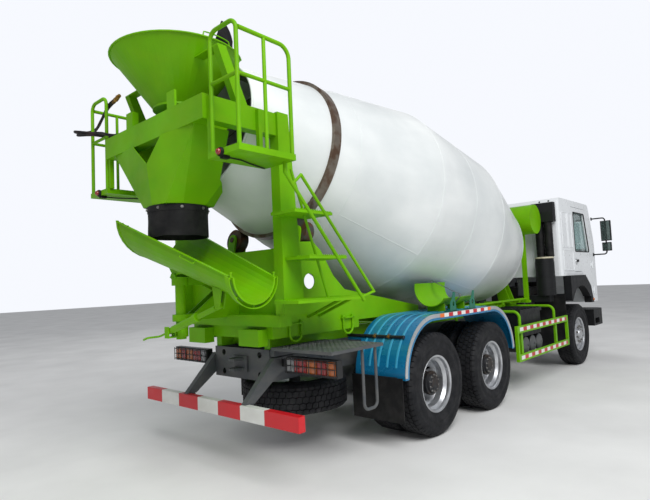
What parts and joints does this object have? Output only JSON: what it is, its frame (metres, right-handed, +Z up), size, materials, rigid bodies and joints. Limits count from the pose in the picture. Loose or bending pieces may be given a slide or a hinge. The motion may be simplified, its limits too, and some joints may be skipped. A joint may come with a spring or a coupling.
{
  "type": "concrete mixer truck",
  "caption": "Cab-over truck with a tilted rotating drum, charging and discharge hoppers and a swinging discharge chute.",
  "frame": {"origin": "on the ground, midway along, across the middle of the truck", "axes": "+X forward, +Y to the left, +Z up"},
  "size_m": [9.575, 3, 4.005],
  "materials": {
    "chassis": "satin dark grey paint",
    "green": "gloss lime green paint",
    "drum_paint": "gloss white paint, lightly dusty",
    "ring_steel": "worn steel with rust",
    "roller_steel": "worn steel",
    "cab_white": "gloss white paint",
    "glass": "clear",
    "black_plastic": "textured black",
    "rubber": "matt",
    "wheel": "matt tyre with silver wheel",
    "blue": "metallic blue paint",
    "bar_white": "white paint with red bands",
    "lamp_red": "red lens",
    "silver": "silver paint",
    "brass": "plain brass",
    "lamp_clear": "clear lens",
    "seat_grey": "grey cloth and plastic",
    "aluminium": "brushed",
    "steel_dark": "matt dark steel"
  },
  "bodies": {
    "chassis": {"frame_rails": "chassis", "rear_bumper": "bar_white", "tail_lamps": "lamp_red", "engine": "steel_dark", "front_axle": "chassis", "rear_axles": "chassis", "springs": "chassis", "spare_wheel": "wheel", "side_step": "chassis", "mudguards": "blue", "mudflaps": "rubber", "side_guards": "green", "fuel_tank": "aluminium", "battery_box": "black_plastic", "air_intake": "black_plastic", "silencer": "steel_dark", "front_bumper": "silver", "headlamps": "lamp_clear", "subframe": "green", "rear_pedestal": "green", "front_pedestal": "green", "hopper_frame": "green", "charge_hopper": "green", "hopper_throat": "green", "discharge_hopper": "green", "hopper_rubber": "rubber", "platforms": "green", "hose": "rubber", "hose_fittings": "brass", "ladder": "green", "water_tank": "green", "drum_drive": "steel_dark", "spare_chute": "green"},
    "drum": {"drum_shell": "drum_paint", "drum_ring": "ring_steel"},
    "roller_left": {"roller_left": "roller_steel"},
    "roller_right": {"roller_right": "roller_steel"},
    "cab": {"cab_shell": "cab_white", "cab_glass": "glass", "cab_interior": "seat_grey", "cab_trim": "black_plastic", "mirrors": "black_plastic"},
    "door_left": {"door_left": "cab_white", "door_glass_left": "glass"},
    "door_right": {"door_right": "cab_white", "door_glass_right": "glass"},
    "knuckle_left": {"knuckle_left": "chassis"},
    "knuckle_right": {"knuckle_right": "chassis"},
    "wheel_front_left": {"wheel_front_left": "wheel"},
    "wheel_front_right": {"wheel_front_right": "wheel"},
    "wheel_mid_left": {"wheel_mid_left": "wheel"},
    "wheel_mid_right": {"wheel_mid_right": "wheel"},
    "wheel_rear_left": {"wheel_rear_left": "wheel"},
    "wheel_rear_right": {"wheel_rear_right": "wheel"},
    "chute_post": {"chute_post": "green"},
    "chute": {"chute": "green"},
    "jack_tube": {"jack_tube": "green"},
    "jack_rod": {"jack_rod": "green"}
  },
  "joints": [
    {"name": "drum_spin", "type": "hinge", "parent": "chassis", "child": "drum", "pos_m": [-1.8875, 0, 2.818], "axis": [0.9799, 0, -0.1994], "continuous": true},
    {"name": "roller_left_spin", "type": "hinge", "parent": "chassis", "child": "roller_left", "pos_m": [-3.15103, 0.50915, 2.17513], "axis": [0.9799, 0, -0.1994], "continuous": true},
    {"name": "roller_right_spin", "type": "hinge", "parent": "chassis", "child": "roller_right", "pos_m": [-3.15103, -0.50915, 2.17513], "axis": [0.9799, 0, -0.1994], "continuous": true},
    {"name": "cab_tilt", "type": "hinge", "parent": "chassis", "child": "cab", "pos_m": [4.6725, 0, 0.95], "axis": [0, 1, 0], "range_deg": [0, 50]},
    {"name": "door_left_swing", "type": "hinge", "parent": "cab", "child": "door_left", "pos_m": [4.3105, 1.163, 1.5], "axis": [0, 0, -1], "range_deg": [0, 65]},
    {"name": "door_right_swing", "type": "hinge", "parent": "cab", "child": "door_right", "pos_m": [4.3105, -1.163, 1.5], "axis": [0, 0, 1], "range_deg": [0, 65]},
    {"name": "steer_left", "type": "hinge", "parent": "chassis", "child": "knuckle_left", "pos_m": [3.2875, 0.84, 0.5425], "axis": [0, 0, 1], "range_deg": [-36, 36]},
    {"name": "steer_right", "type": "hinge", "parent": "chassis", "child": "knuckle_right", "pos_m": [3.2875, -0.84, 0.5425], "axis": [0, 0, 1], "range_deg": [-36, 36]},
    {"name": "wheel_front_left_spin", "type": "hinge", "parent": "knuckle_left", "child": "wheel_front_left", "pos_m": [3.2875, 1.011, 0.5425], "axis": [0, 1, 0], "continuous": true},
    {"name": "wheel_front_right_spin", "type": "hinge", "parent": "knuckle_right", "child": "wheel_front_right", "pos_m": [3.2875, -1.011, 0.5425], "axis": [0, 1, 0], "continuous": true},
    {"name": "wheel_mid_left_spin", "type": "hinge", "parent": "chassis", "child": "wheel_mid_left", "pos_m": [-0.5375, 1.083, 0.5425], "axis": [0, 1, 0], "continuous": true},
    {"name": "wheel_mid_right_spin", "type": "hinge", "parent": "chassis", "child": "wheel_mid_right", "pos_m": [-0.5375, -1.083, 0.5425], "axis": [0, 1, 0], "continuous": true},
    {"name": "wheel_rear_left_spin", "type": "hinge", "parent": "chassis", "child": "wheel_rear_left", "pos_m": [-1.8875, 1.083, 0.5425], "axis": [0, 1, 0], "continuous": true},
    {"name": "wheel_rear_right_spin", "type": "hinge", "parent": "chassis", "child": "wheel_rear_right", "pos_m": [-1.8875, -1.083, 0.5425], "axis": [0, 1, 0], "continuous": true},
    {"name": "chute_swing", "type": "hinge", "parent": "chassis", "child": "chute_post", "pos_m": [-4.2175, 0, 1.5], "axis": [0, 0, -1], "range_deg": [0, 180]},
    {"name": "chute_pitch", "type": "hinge", "parent": "chute_post", "child": "chute", "pos_m": [-4.2175, 0, 1.79], "axis": [-1, 0, 0], "range_deg": [-6, 6]},
    {"name": "jack_swing", "type": "hinge", "parent": "chute_post", "child": "jack_tube", "pos_m": [-4.3275, 0, 1.3], "axis": [-1, 0, 0], "range_deg": [-5.41, 5.41]},
    {"name": "jack_slide", "type": "slide", "parent": "jack_tube", "child": "jack_rod", "axis": [0, -0.9585, 0.285], "range_m": [-0.05119, 0.05119]}
  ],
  "couplings": [
    {"joint": "roller_left_spin", "follows": "drum_spin", "ratio": -7.144},
    {"joint": "roller_right_spin", "follows": "drum_spin", "ratio": -7.144},
    {"joint": "steer_right", "follows": "steer_left", "ratio": 1},
    {"joint": "jack_swing", "follows": "chute_pitch", "ratio": 0.81913},
    {"joint": "jack_slide", "follows": "chute_pitch", "m_per_rad": 0.46968}
  ]
}
